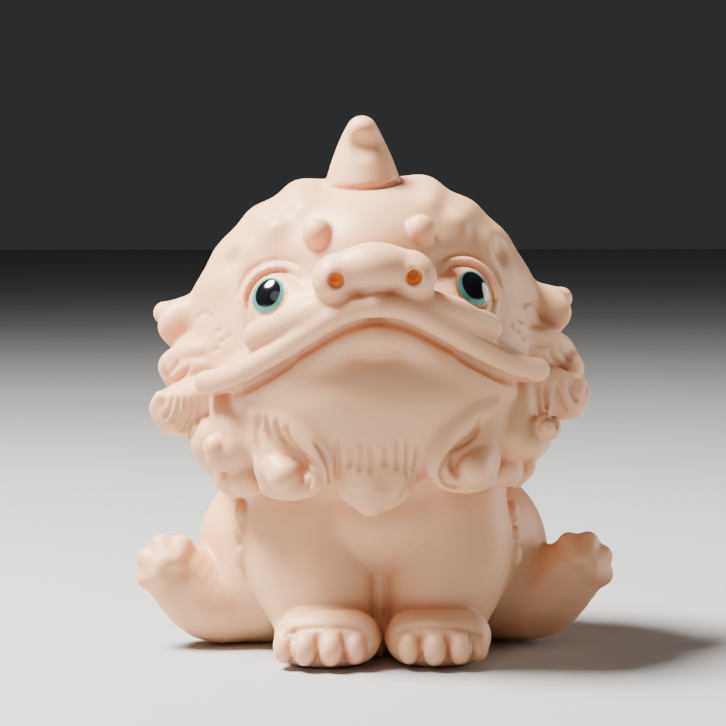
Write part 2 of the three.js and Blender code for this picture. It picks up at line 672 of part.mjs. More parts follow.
// How far a point is from the planes of the faces round it, as the ten numbers of a quadric
class Quadric {
  constructor() {
    this.q = new Float64Array(10);
  }

  addPlane([a, b, c, d], weight) {
    const terms = [a * a, a * b, a * c, a * d, b * b, b * c, b * d, c * c, c * d, d * d];
    terms.forEach((term, n) => { this.q[n] += weight * term; });
  }

  add(other) {
    const sum = new Quadric();
    sum.q = this.q.map((v, n) => v + other.q[n]);
    return sum;
  }

  cost([x, y, z]) {
    const q = this.q;
    return q[0] * x * x + 2 * q[1] * x * y + 2 * q[2] * x * z + 2 * q[3] * x
      + q[4] * y * y + 2 * q[5] * y * z + 2 * q[6] * y + q[7] * z * z + 2 * q[8] * z + q[9];
  }

  // The point nearest to all the planes, or nothing where they are too nearly parallel
  best() {
    const [a, b, c, d, e, f, g, h, i] = this.q;
    const [m0, m1, m2] = [e * h - f * f, c * f - b * h, b * f - c * e];
    const size = a * m0 + b * m1 + c * m2;
    if (Math.abs(size) < 1e-3 * (a + e + h) ** 3) return null;
    const [n1, n2, n3] = [a * h - c * c, b * c - a * f, a * e - b * b];
    return [
      -(m0 * d + m1 * g + m2 * i) / size,
      -(m1 * d + n1 * g + n2 * i) / size,
      -(m2 * d + n2 * g + n3 * i) / size,
    ];
  }
}

// A heap of edges with the cheapest on top
class Heap {
  constructor() {
    this.items = [];
  }

  push(item) {
    const list = this.items;
    let n = list.push(item) - 1;
    while (n > 0) {
      const parent = (n - 1) >> 1;
      if (list[parent].cost <= item.cost) break;
      list[n] = list[parent];
      n = parent;
    }
    list[n] = item;
  }

  pop() {
    const list = this.items;
    const top = list[0];
    const item = list.pop();
    if (!list.length) return top;
    let n = 0;
    for (;;) {
      let child = 2 * n + 1;
      if (child >= list.length) break;
      if (child + 1 < list.length && list[child + 1].cost < list[child].cost) child++;
      if (list[child].cost >= item.cost) break;
      list[n] = list[child];
      n = child;
    }
    list[n] = item;
    return top;
  }
}

function plane(p, q, r) {
  const [u, v] = [q.map((c, k) => c - p[k]), r.map((c, k) => c - p[k])];
  const normal = cross(u, v);
  const area = Math.hypot(...normal);
  if (area < 1e-12) return { normal: [0, 0, 0], offset: 0, area: 0 };
  const n = normal.map((c) => c / area);
  return { normal: n, offset: -(n[0] * p[0] + n[1] * p[1] + n[2] * p[2]), area: area / 2 };
}

// Draws edges together, the least noticeable first, until few enough triangles are left
function simplify({ points, triangles }, wanted) {
  const around = points.map(() => new Set());
  const quadrics = points.map(() => new Quadric());
  const version = new Uint32Array(points.length);
  triangles.forEach((t, n) => {
    const { normal, offset, area } = plane(...t.map((v) => points[v]));
    for (const v of t) {
      around[v].add(n);
      quadrics[v].addPlane([...normal, offset], area);
    }
  });
  const neighbours = (v) => new Set([...around[v]].flatMap((n) => triangles[n].filter((w) => w !== v)));
  const heap = new Heap();
  const offer = (a, b) => {
    const sum = quadrics[a].add(quadrics[b]);
    const middle = points[a].map((c, k) => (c + points[b][k]) / 2);
    const length = Math.hypot(...points[a].map((c, k) => c - points[b][k]));
    const best = sum.best();
    const usable = best && Math.hypot(...best.map((c, k) => c - middle[k])) < length;
    const target = usable ? best : middle;
    const cost = sum.cost(target) + LENGTH_COST * length * length;
    heap.push({ a, b, target, cost, at: version[a] + version[b] });
  };
  const turnsOver = (v, other, target) => [...around[v]].some((n) => {
    const t = triangles[n];
    if (t.includes(other)) return false;
    const before = plane(...t.map((w) => points[w]));
    const after = plane(...t.map((w) => (w === v ? target : points[w])));
    const turn = before.normal.reduce((sum, c, k) => sum + c * after.normal[k], 0);
    return turn < LEAST_TURN || after.area < LEAST_AREA;
  });
  for (const t of triangles) {
    for (let k = 0; k < 3; k++) if (t[k] < t[(k + 1) % 3]) offer(t[k], t[(k + 1) % 3]);
  }
  let left = triangles.length;
  while (left > wanted && heap.items.length) {
    const { a, b, target, at } = heap.pop();
    if (!around[a].size || !around[b].size || at !== version[a] + version[b]) continue;
    const [nearA, nearB] = [neighbours(a), neighbours(b)];
    if (!nearA.has(b)) continue;
    if ([...nearA].filter((v) => nearB.has(v)).length !== 2) continue;
    if (turnsOver(a, b, target) || turnsOver(b, a, target)) continue;
    for (const n of [...around[b]]) {
      const t = triangles[n];
      if (t.includes(a)) {
        for (const v of t) around[v].delete(n);
        triangles[n] = null;
        left--;
      } else {
        t[t.indexOf(b)] = a;
        around[a].add(n);
      }
    }
    around[b].clear();
    points[a] = target;
    quadrics[a] = quadrics[a].add(quadrics[b]);
    version[a] = Math.max(version[a], version[b]) + 1;
    for (const v of neighbours(a)) offer(Math.min(a, v), Math.max(a, v));
  }
  return { points, triangles: triangles.filter(Boolean) };
}

function geometryOf(positions, indices) {
  const geometry = new THREE.BufferGeometry();
  geometry.setAttribute('position', new THREE.Float32BufferAttribute(positions, 3));
  geometry.setIndex([...indices]);
  return geometry;
}

function toManifold(wasm, geometry) {
  const bare = geometry.clone();
  bare.deleteAttribute('normal');
  bare.deleteAttribute('uv');
  const merged = mergeVertices(bare);
  return new wasm.Manifold(new wasm.Mesh({
    numProp: 3,
    vertProperties: new Float32Array(merged.attributes.position.array),
    triVerts: new Uint32Array(merged.index.array),
  }));
}

// Cuts the clay off level with the ground
function levelled(wasm, geometry) {
  const ground = new THREE.BoxGeometry(GROUND_WIDTH, GROUND_WIDTH, GROUND_DEPTH);
  ground.translate(0, 0, -GROUND_DEPTH / 2);
  const mesh = toManifold(wasm, geometry).subtract(toManifold(wasm, ground)).getMesh();
  return geometryOf(mesh.vertProperties, mesh.triVerts);
}

const BODY_PARTS = [trunk, forelegs, paws, haunches, feet, tail];
const HEAD_PARTS = [
  skull, brow, eyes, chin, muzzle, lip, bridge, nose, ears, horn, beard, backCurls, locks,
];

const clay = new Clay(GRID_LOW, GRID_HIGH, GRID_STEP);
for (const part of [...BODY_PARTS, ...HEAD_PARTS]) part(clay);

const { points, triangles } = simplify(clay.surface(), TRIANGLES);
const wasm = await Module();
wasm.setup();
const geometry = levelled(wasm, geometryOf(points.flat(), triangles.flat()));
geometry.computeBoundingBox();
const middle = geometry.boundingBox.getCenter(new THREE.Vector3());
geometry.translate(-middle.x, -middle.y, 0);

const figurine = new THREE.Mesh(
  geometry,
  new THREE.MeshStandardMaterial({ color: 0xe8c9a8, roughness: 0.5, metalness: 0 }),
);
figurine.name = 'foo_dog';
const group = new THREE.Group();
group.add(figurine);

export default group;
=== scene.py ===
# A seated foo dog figurine of unglazed cream clay, modelled as lumps of clay that are pressed together.
# Lengths are millimetres until the mesh is made; Blender's own objects are in metres.

import itertools
import math

import bpy
import numpy as np
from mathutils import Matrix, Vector


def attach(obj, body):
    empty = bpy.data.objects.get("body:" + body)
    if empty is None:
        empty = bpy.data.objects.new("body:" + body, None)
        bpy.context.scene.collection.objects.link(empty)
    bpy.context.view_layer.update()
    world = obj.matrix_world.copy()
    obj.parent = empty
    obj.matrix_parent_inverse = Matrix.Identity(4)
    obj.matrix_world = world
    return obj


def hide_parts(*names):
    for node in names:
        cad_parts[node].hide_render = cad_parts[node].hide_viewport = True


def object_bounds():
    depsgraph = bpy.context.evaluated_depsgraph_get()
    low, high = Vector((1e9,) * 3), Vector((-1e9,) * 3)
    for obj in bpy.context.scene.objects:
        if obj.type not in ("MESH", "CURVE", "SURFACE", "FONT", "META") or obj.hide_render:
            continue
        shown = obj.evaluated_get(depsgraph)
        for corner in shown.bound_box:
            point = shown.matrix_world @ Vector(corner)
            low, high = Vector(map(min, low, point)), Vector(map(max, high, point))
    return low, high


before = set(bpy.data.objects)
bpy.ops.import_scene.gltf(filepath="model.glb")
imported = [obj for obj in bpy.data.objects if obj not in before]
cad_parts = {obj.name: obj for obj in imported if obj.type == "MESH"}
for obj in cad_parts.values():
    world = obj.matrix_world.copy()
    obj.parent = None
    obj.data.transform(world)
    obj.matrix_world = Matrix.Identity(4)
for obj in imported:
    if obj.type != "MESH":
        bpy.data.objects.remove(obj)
cad_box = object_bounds()

MM = 0.001

# The clay's grid, the room it covers, and the triangles of the finished mesh
GRID_STEP = 0.34
GRID_LOW, GRID_HIGH = (-38.5, -36, -2), (38.5, 34, 83)
TRIANGLES = 185000

# The distance held by places that no form has reached
FAR = 6.0

# How far inside the solid's box the mesh stays
HAIR = 0.001

# The figurine faces -Y. The head is modelled upright about the neck and leans a little to one side.
NECK = np.array([-0.7, 0.0, 25.0])
HEAD_LEAN = math.radians(2.0)
SIDES = (-1, 1)

# The rim of an eye: its middle, its radius and how many points its ring has
EYE_X, EYE_Y, EYE_Z, EYE_RADIUS = 13.5, -18.6, 28.8, 4.4
RING_POINTS = 25

# The eyeball's radius as a share of the rim's, and how far behind the rim its middle is
BALL_SIZE = 1.06
BALL_DEPTH = 1.8

# The paint of an eye: the middle and half sizes of its two ovals, which lean outwards
EYE_LEAN = math.radians(34)
IRIS, IRIS_HALVES = (14.95, -21.2, 29.75), (2.1, 2.75)
PUPIL, PUPIL_HALVES = (14.95, -21.2, 30.1), (1.6, 2.2)

# The inner end of a nostril, and the reach of its orange painted glow round that
NOSTRIL = (5.5, -29.3, 32.1)
NOSTRIL_REACH = 2.4

LIP_RADIUS = 1.65
MOUTH_GAP = 0.7

# The toes of a front paw: across, forward and half width
TOES = ((3.6, -22.9, 1.75), (7.2, -24.1, 1.9), (10.9, -23.5, 1.9), (13.8, -21.3, 1.6))

# A spiral's steps in one turn, how soon it winds in, and how much thinner its coil ends
SPIRAL_STEPS = 10
SPIRAL_PULL = 0.9
SPIRAL_TAPER = 0.35

# Where the search for the front of the clay starts and ends, and its step
FRONT_START, FRONT_END, FRONT_STEP = -36.0, 12.0, 0.2

CLAY_LIGHT = (0.84, 0.50, 0.29, 1)
CLAY_DARK = (0.80, 0.45, 0.245, 1)
# Painted shade: the clay is darkened and warmed towards these two colours where it is closed in, in its
# hollows and creases
CLAY_SHADE = (0.62, 0.25, 0.095, 1)
CREASE_SHADE_COLOUR = (0.50, 0.14, 0.035, 1)
# Orange painted glow of the nostrils, standing in for light that comes through the thin clay
NOSTRIL_GLOW = (1.0, 0.34, 0.03, 1)
TEAL = (0.055, 0.27, 0.25, 1)
BLACK = (0.004, 0.004, 0.006, 1)

# The clay's clouds of colour, and the scale, strength and height of its grain
MOTTLE_SCALE, MOTTLE_DETAIL = 60.0, 3.0
GRAIN_SCALE, GRAIN_STRENGTH, GRAIN_HEIGHT = 1400.0, 0.12, 0.05

# How far off clay still closes in a crease or a hollow, and how strongly each is darkened with painted
# shade
CREASE_REACH, CREASE_SHADE_SHARE = 1.2, 0.4
SHADE_REACH, SHADE_SHARE = 4.5, 0.34

# The clay's roughness where it is light and dark, and the light that goes through it
ROUGH_LIGHT, ROUGH_DARK = 0.42, 0.52
SUBSURFACE, SUBSURFACE_RADIUS, SUBSURFACE_SCALE = 0.35, (1.0, 0.36, 0.16), 2.0

# The glaze of the eyes, and the painted glow of the nostrils, which are no lamp
GLAZE_ROUGHNESS, COAT, COAT_ROUGHNESS = 0.12, 0.8, 0.05
GLOW = 0.8

# How closed in a nostril is where its painted glow starts, and where it is full
DEEP_FROM, DEEP_TO = 0.25, 0.6

# The camera stands in front of the figurine and looks a little down on it
CAMERA_TARGET, CAMERA_DISTANCE = (-1.97, 0, 43.3), 420
CAMERA_AZIMUTH, CAMERA_ELEVATION = math.radians(-3), math.radians(3.5)
SENSOR_WIDTH, PIXELS_PER_MM, IMAGE_WIDTH = 36, 6.6, 726

# The studio in metres: each lamp's name, place, width, power and colour
FLOOR_HALF, FLOOR_COLOUR, FLOOR_ROUGHNESS = 3.0, (0.42, 0.42, 0.42, 1), 0.9
WORLD_COLOUR, WORLD_STRENGTH = (0.80, 0.82, 0.86, 1), 0.04
LAMP_TARGET = (0, 0, 0.04)
LAMPS = (
    ("key", (-0.26, 0.0, 0.46), 0.20, 16.0, (1, 0.98, 0.96)),
    ("front", (-0.22, -0.50, 0.34), 0.40, 0.45, (1, 0.93, 0.86)),
    ("rim", (0.44, 0.16, 0.12), 0.30, 1.1, (1, 0.93, 0.85)),
)


class Place:
    """Where a group of forms stands: an origin, and a lean about the Y axis."""

    def __init__(self, origin, lean=0.0):
        self.origin = np.array(origin, float)
        self.cos, self.sin = math.cos(lean), math.sin(lean)

    def inside(self, x, y, z):
        """World coordinates as this place's own."""
        dx, dy, dz = x - self.origin[0], y - self.origin[1], z - self.origin[2]
        return dx * self.cos + dz * self.sin, dy, dz * self.cos - dx * self.sin

    def outside(self, p):
        """One of this place's points in world coordinates."""
        x, y, z = p
        return self.origin + np.array([x * self.cos - z * self.sin, y, x * self.sin + z * self.cos])


HEAD = Place(NECK, HEAD_LEAN)
BODY = Place((0, 0, 0))


def ellipsoid(centre, radii, turn=None):
    """One lump. turn is a 3x3 matrix whose columns are the lump's own axes."""
    c, r = np.array(centre, float), np.array(radii, float)
    m = np.eye(3) if turn is None else turn
    reach = np.sqrt((m**2) @ (r**2))

    def distance(x, y, z):
        d = (x - c[0], y - c[1], z - c[2])
        own = [m[0, i] * d[0] + m[1, i] * d[1] + m[2, i] * d[2] for i in range(3)]
        near = np.sqrt(sum((o / s) ** 2 for o, s in zip(own, r)))
        slope = np.sqrt(sum((o / s**2) ** 2 for o, s in zip(own, r)))
        return near * (near - 1) / np.maximum(slope, 1e-6)

    return [(distance, c - reach, c + reach)]


def rod(a, b, radius_a, radius_b):
    """A straight stretch of a coil of clay, round at both ends."""
    a, b = np.array(a, float), np.array(b, float)
    ab = b - a
    length = max(float(ab @ ab), 1e-9)
    widest = max(radius_a, radius_b)

    def distance(x, y, z):
        dx, dy, dz = x - a[0], y - a[1], z - a[2]
        t = np.clip((dx * ab[0] + dy * ab[1] + dz * ab[2]) / length, 0, 1)
        gap = np.sqrt((dx - t * ab[0]) ** 2 + (dy - t * ab[1]) ** 2 + (dz - t * ab[2]) ** 2)
        return gap - (radius_a + t * (radius_b - radius_a))

    return (distance, np.minimum(a, b) - widest, np.maximum(a, b) + widest)


def coil(points, radii, steps=4):
    """A rolled coil of clay on a smooth curve through the points, with a radius at each."""
    p = smooth([(*q, r) for q, r in zip(points, radii)], steps)
    return [rod(a[:3], b[:3], a[3], b[3]) for a, b in zip(p, p[1:])]


def smooth(points, steps):
    """A Catmull-Rom curve through the points, with that many stretches between each two."""
    p = [np.array(q, float) for q in points]
    p = [2 * p[0] - p[1], *p, 2 * p[-1] - p[-2]]
    line = [p[1]]
    for a, b, c, d in zip(p, p[1:], p[2:], p[3:]):
        bend = 2 * a - 5 * b + 4 * c - d
        twist = 3 * b - a - 3 * c + d
        for i in range(1, steps + 1):
            t = i / steps
            line.append(0.5 * (2 * b + (c - a) * t + bend * t**2 + twist * t**3))
    return line


class Clay:
    """The distance to the figurine's surface at each point of a grid, negative inside the clay."""

    def __init__(self, low, high, step):
        self.low, self.step = np.array(low, float), step
        count = np.ceil((np.array(high) - self.low) / step).astype(int) + 1
        self.field = np.full(tuple(count), FAR, np.float32)

    def window(self, low, high):
        """The part of the grid between two corners, and its coordinates."""
        a = np.clip(np.floor((low - self.low) / self.step).astype(int), 0, self.field.shape)
        b = np.clip(np.ceil((high - self.low) / self.step).astype(int) + 1, 0, self.field.shape)
        axes = [(self.low[i] + self.step * np.arange(a[i], b[i])).astype(np.float32) for i in range(3)]
        grid = (axes[0][:, None, None], axes[1][None, :, None], axes[2][None, None, :])
        return a, b, grid

    def gather(self, form, place, margin):
        """A form's own distances, in the window that it and the margin take."""
        pieces = []
        for distance, low, high in form:
            corners = [place.outside(corner) for corner in itertools.product(*zip(low, high))]
            a, b, grid = self.window(np.min(corners, 0) - margin, np.max(corners, 0) + margin)
            if np.all(b > a):
                pieces.append((a, b, distance(*place.inside(*grid))))
        first = np.min([a for a, _, _ in pieces], 0)
        last = np.max([b for _, b, _ in pieces], 0)
        own = np.full(tuple(last - first), FAR, np.float32)
        for a, b, d in pieces:
            part = own[tuple(slice(i, j) for i, j in zip(a - first, b - first))]
            np.minimum(part, d, out=part)
        return self.field[tuple(slice(i, j) for i, j in zip(first, last))], own

    def press(self, form, soft, place):
        """Adds a form, with a fillet of about that size where it meets the clay."""
        clay, own = self.gather(form, place, soft + 3 * self.step)
        near = np.maximum(soft - np.abs(clay - own), 0) / soft
        clay[...] = np.minimum(clay, own) - near * near * soft / 4

    def cut(self, form, soft, place):
        """Takes a form away, with its edges rounded by about that size."""
        clay, own = self.gather(form, place, soft + 3 * self.step)
        near = np.maximum(soft - np.abs(clay + own), 0) / soft
        clay[...] = np.maximum(clay, -own) + near * near * soft / 4

    def level(self):
        """Cuts the clay off level with the ground."""
        height = self.low[2] + self.step * np.arange(self.field.shape[2], dtype=np.float32)
        np.maximum(self.field, -height[None, None, :], out=self.field)

    def sample(self, p):
        """The distance at each of an array of points, between the grid's own."""
        q = (p - self.low) / self.step
        base = np.clip(np.floor(q).astype(int), 0, np.array(self.field.shape) - 2)
        t = q - base
        total = np.zeros(len(p))
        for corner in np.ndindex(2, 2, 2):
            at = base + corner
            weight = np.prod(np.where(corner, t, 1 - t), 1)
            total += weight * self.field[at[:, 0], at[:, 1], at[:, 2]]
        return total

    def surface(self):
        """The surface as points and four-sided faces: one point in each cell that the surface crosses."""
        solid = self.field < 0
        cells = tuple(n - 1 for n in solid.shape)
        count = np.zeros(cells, np.uint8)
        corners = list(np.ndindex(2, 2, 2))
        for dx, dy, dz in corners:
            count += solid[dx : dx + cells[0], dy : dy + cells[1], dz : dz + cells[2]]
        at = np.argwhere((count > 0) & (count < 8))
        value = {c: self.field[at[:, 0] + c[0], at[:, 1] + c[1], at[:, 2] + c[2]] for c in corners}
        total, hits = np.zeros((len(at), 3)), np.zeros(len(at))
        for c in corners:
            for axis in range(3):
                if c[axis]:
                    continue
                d = tuple(1 if i == axis else v for i, v in enumerate(c))
                crossed = (value[c] < 0) != (value[d] < 0)
                share = np.where(crossed, value[c] / np.where(crossed, value[c] - value[d], 1), 0)
                point = np.array(c, float) + share[:, None] * (np.arange(3) == axis)
                total += point * crossed[:, None]
                hits += crossed
        points = self.low + (at + total / hits[:, None]) * self.step
        number = np.full(cells, -1, np.int32)
        number[at[:, 0], at[:, 1], at[:, 2]] = np.arange(len(at))
        faces = [self.faces_across(solid, number, axis) for axis in range(3)]
        return self.settle(points), np.concatenate(faces)

    @staticmethod
    def faces_across(solid, number, axis):
        """The faces that cross the grid's lines along one axis."""
        one = np.eye(3, dtype=int)
        other = [(axis + 1) % 3, (axis + 2) % 3]
        low = tuple(slice(0, n - 1) if i == axis else slice(1, n - 1) for i, n in enumerate(solid.shape))
        high = tuple(slice(1, n) if i == axis else slice(1, n - 1) for i, n in enumerate(solid.shape))
        leaving = np.argwhere(solid[low] & ~solid[high])
        entering = np.argwhere(~solid[low] & solid[high])
        shift = one[other[0]] + one[other[1]]
        found = []
        for edges, order in ((leaving, (0, 1, 3, 2)), (entering, (0, 2, 3, 1))):
            base = edges + shift
            ring = [base - shift, base - one[other[1]], base - one[other[0]], base]
            ring = [number[r[:, 0], r[:, 1], r[:, 2]] for r in ring]
            found.append(np.stack([ring[i] for i in order], 1))
        return np.concatenate(found)

    def settle(self, points):
        """Moves the points onto the surface itself."""
        for _ in range(2):
            slope = self.slope(points)
            size = np.maximum((slope**2).sum(1), 0.05)
            points = points - slope * (self.sample(points) / size)[:, None]
        return points

    def slope(self, points):
        """The direction away from the clay at each point."""
        h = 0.5 * self.step
        return np.stack(
            [(self.sample(points + h * e) - self.sample(points - h * e)) / (2 * h) for e in np.eye(3)], 1
        )


def unit(v):
    """The same direction with a length of one."""
    v = np.array(v, float)
    return v / np.linalg.norm(v)


def tilt(degrees, axis):
    """A turn about X, Y or Z (0, 1 or 2), as a 3x3 matrix."""
    c, s = math.cos(math.radians(degrees)), math.sin(math.radians(degrees))
    i, j = (axis + 1) % 3, (axis + 2) % 3
    m = np.eye(3)
    m[i, i], m[i, j], m[j, i], m[j, j] = c, -s, s, c
    return m


def mirrored(points, side):
    """Points of the +X side, on either side."""
    return [(side * p[0], p[1], p[2]) for p in points]


def skull(clay):
    """The round head and the mass of the mane under it."""
    clay.press(ellipsoid((0, 0.5, 20), (26.8, 24.5, 26.7)), 1, HEAD)
    clay.press(ellipsoid((0, -5.5, 29.3), (20.8, 16.2, 16.0)), 4, HEAD)
    clay.press(ellipsoid((0, 2, 10), (24.5, 21, 12)), 6, HEAD)
    clay.press(ellipsoid((0, -9, 20), (22.5, 15, 13)), 4, HEAD)


def brow(clay):
    """Soft tufts that run from the brow over the edge of the skull."""
    tufts = (
        ((9.2, -14.2, 42.0), (9.6, -10, 43.2), (9.2, -5, 43.8), 1.9),
        ((13.2, -14.8, 39.0), (14.6, -9, 40.0), (15.0, -3, 39.8), 2.0),
        ((17.0, -12.0, 35.6), (18.8, -6, 35.8), (19.9, 0, 34.6), 2.0),
        ((20.2, -8.6, 31.0), (22.0, -3, 30.4), (23.2, 1, 29.2), 2.0),
    )
    for side in SIDES:
        for root, middle, end, radius in tufts:
            form = coil(mirrored((root, middle, end), side), (0.45 * radius, 0.9 * radius, radius))
            clay.press(form, 4.2, HEAD)
        for x, y, z in ((13.9, -18.9, 39.4), (20.6, -11.9, 35.2)):
            clay.cut(ellipsoid((side * x, y, z), (1.2, 1.2, 1.0)), 2.5, HEAD)


def look_of(side):
    """The way an eye faces."""
    return unit((side * 0.26, -0.95, 0.16))


def eyeball_centre(side):
    """The middle of an eyeball, behind the rim of its socket."""
    return np.array((side * EYE_X, EYE_Y, EYE_Z)) - BALL_DEPTH * look_of(side)


def eyes(clay):
    """Eyeballs in shallow sockets, each with a lid that runs all the way round."""
    for side in SIDES:
        look = look_of(side)
        across = unit(np.cross((0, 0, 1), look))
        up = np.cross(look, across)
        rim = np.array((side * EYE_X, EYE_Y, EYE_Z))
        clay.cut(ellipsoid(rim + 3.2 * look + (side * 0.6, 0, 1.0), (6.9, 4.0, 6.5)), 3.0, HEAD)
        circle = [math.cos(a) * across + math.sin(a) * up for a in np.linspace(0, 2 * math.pi, RING_POINTS)]
        lid = [rim + 1.13 * EYE_RADIUS * c for c in circle]
        clay.press(coil(lid, [0.72] * len(lid), 1), 1.1, HEAD)
        groove = [rim + EYE_RADIUS * c + 0.5 * look for c in circle]
        clay.cut(coil(groove, [0.4] * len(groove), 1), 0.3, HEAD)
        clay.press(ellipsoid(eyeball_centre(side), [BALL_SIZE * EYE_RADIUS] * 3), 0.25, HEAD)


def beads(clay):
    """The broad bridge of the nose and the two beads of clay over it."""
    clay.press(ellipsoid((0, -12, 34.5), (10.5, 11.5, 9)), 4.0, HEAD)
    for side in SIDES:
        clay.press(ellipsoid((side * 7.5, -20.0, 38.5), (2.2, 2.0, 2.3)), 0.4, HEAD)


def chin(clay):
    """The full chin, with a rim that follows the lip."""
    clay.press(ellipsoid((0, -12.5, 15.5), (20.5, 16.6, 12.5), tilt(8, 0)), 3, HEAD)
    clay.press(ellipsoid((0, -12.5, 9), (17.5, 14, 8.5)), 3, HEAD)
    rim = [
        (0, -27.9, 24.0), (4.4, -27.4, 23.1), (9.2, -25.0, 20.2), (14.2, -21.6, 16.9), (18.6, -18.0, 14.4),
    ]
    for side in SIDES:
        clay.press(coil(mirrored(rim, side), [1.7, 1.7, 1.6, 1.4, 1.2]), 3.0, HEAD)
        clay.press(ellipsoid((side * 14, -14, 9), (6.5, 9.4, 6)), 2.5, HEAD)


def muzzle(clay):
    """The muzzle under the nose, with a roll of cheek on each side."""
    clay.press(ellipsoid((0, -15, 25.5), (17.0, 12.5, 6.5), tilt(-14, 0)), 3, HEAD)
    for side in SIDES:
        pad = [(3.5, -28.2, 28.4), (8.5, -26.9, 27.3), (12.8, -24.1, 25.8), (16.6, -20.9, 24.0)]
        clay.press(coil(mirrored(pad, side), [2.6, 2.6, 2.5, 2.2]), 0.9, HEAD)


def lip(clay):
    """The wide frowning lip, and the gap that parts it from the chin."""
    edge = [
        (0, -30.9, 28.4), (4.4, -30.2, 27.5), (9.2, -27.8, 24.8),
        (14.2, -24.4, 21.5), (19.2, -20.6, 18.7), (22.4, -17.8, 17.5), (24.3, -16.2, 17.3),
    ]
    radii = [LIP_RADIUS * share for share in (1, 1, 1, 1.03, 1.15, 1.18, 1.1)]
    for side in SIDES:
        web = [(6, -26.5, 26.5), (12.5, -23.0, 23.0), (18, -18.4, 19.8), (22, -15, 18)]
        clay.press(coil(mirrored(web, side), [2.4, 2.0, 1.8, 1.2]), 1.2, HEAD)
        clay.press(coil(mirrored(edge, side), radii), 0.8, HEAD)
    gap = [(x, y + back, z - 2.3) for (x, y, z), back in zip(edge, (1.3, 1.3, 1.0, 0.6, 0.4))]
    widths = [MOUTH_GAP * share for share in (1, 1, 0.85, 0.5, 0.2)]
    for side in SIDES:
        clay.cut(coil(mirrored(gap, side), widths), 0.4, HEAD)


def nose(clay):
    """A broad flat nose with two round nostrils."""
    clay.press(ellipsoid((0, -29.3, 33.5), (5.2, 3.9, 3.6)), 0.8, HEAD)
    bar = [(-5.0, -29.0, 32.9), (0, -29.4, 33.6), (5.0, -29.0, 32.9)]
    clay.press(coil(bar, [3.0, 3.2, 3.0]), 0.8, HEAD)
    for side in SIDES:
        clay.press(ellipsoid((side * 5.9, -29.2, 32.0), (3.0, 3.3, 2.9)), 1.2, HEAD)
    for side in SIDES:
        x = side * NOSTRIL[0]
        clay.cut(coil([(x, -34.5, 31.8), (x, -29.5, 32.3)], [1.25, 1.0]), 0.5, HEAD)


def ears(clay):
    """Plump leaf-shaped ears that point out to the sides."""
    for side in SIDES:
        clay.press(ellipsoid((side * 26.6, 0.4, 25.0), (5.2, 2.6, 3.7), tilt(-side * 24, 2)), 1.6, HEAD)
        top = [(21.5, -3.0, 26.6), (26.6, 0.4, 26.9), (30.4, 2.6, 26.9)]
        clay.press(coil(mirrored(top, side), [1.9, 2.0, 1.75]), 2.0, HEAD)


def horn(clay):
    """The horn on its ring, with a hollow in front of its tip."""
    clay.press(ellipsoid((0, -8.5, 45.2), (6.2, 6.0, 1.5), tilt(20, 0)), 0.6, HEAD)
    core = [(0, -8, 43.5), (0, -8, 47.2), (0, -8.4, 51), (0, -10.0, 53.2)]
    clay.press(coil(core, [6.0, 4.9, 3.4, 2.35]), 0.5, HEAD)
    clay.cut(ellipsoid((-0.2, -14.4, 51.2), (2.6, 3.0, 2.0)), 1.4, HEAD)


def beard(clay):
    """A short flat beard that comes out of the chin and narrows to a blunt tip."""
    clay.press(ellipsoid((-0.3, -22.6, 5.6), (6.6, 4.0, 6.6), tilt(10, 0)), 2.4, HEAD)
    clay.press(ellipsoid((-0.6, -24.3, 2.6), (5.6, 2.6, 4.4), tilt(6, 0)), 1.2, HEAD)
    clay.press(coil([(-1.2, -24.8, 1.0), (-1.5, -25.0, -0.6)], [2.4, 1.6]), 1.5, HEAD)


def spiral(centre, across, up, radius, thick, turns, start=0.0, lift=0.0):
    """A coil that winds in to a point, lying in the plane of two directions."""
    across, up = unit(across), unit(up)
    out = np.cross(across, up)
    steps = int(round(turns * SPIRAL_STEPS))
    line = []
    for i in range(steps + 1):
        t = i / steps
        a = math.radians(start) + 2 * math.pi * turns * t
        r = radius * (1 - t) ** SPIRAL_PULL
        line.append(np.array(centre) + r * (math.cos(a) * across + math.sin(a) * up) + lift * t * out)
    radii = [thick * (1 - SPIRAL_TAPER * i / steps) for i in range(steps + 1)]
    return coil(line, radii, 1)


def arc(centre, radius, start, end, count=8):
    """Points round a centre in the XZ plane, from one angle to another."""
    angles = [math.radians(start + (end - start) * i / count) for i in range(count + 1)]
    return [(centre[0] + radius * math.cos(a), centre[1] + radius * math.sin(a)) for a in angles]


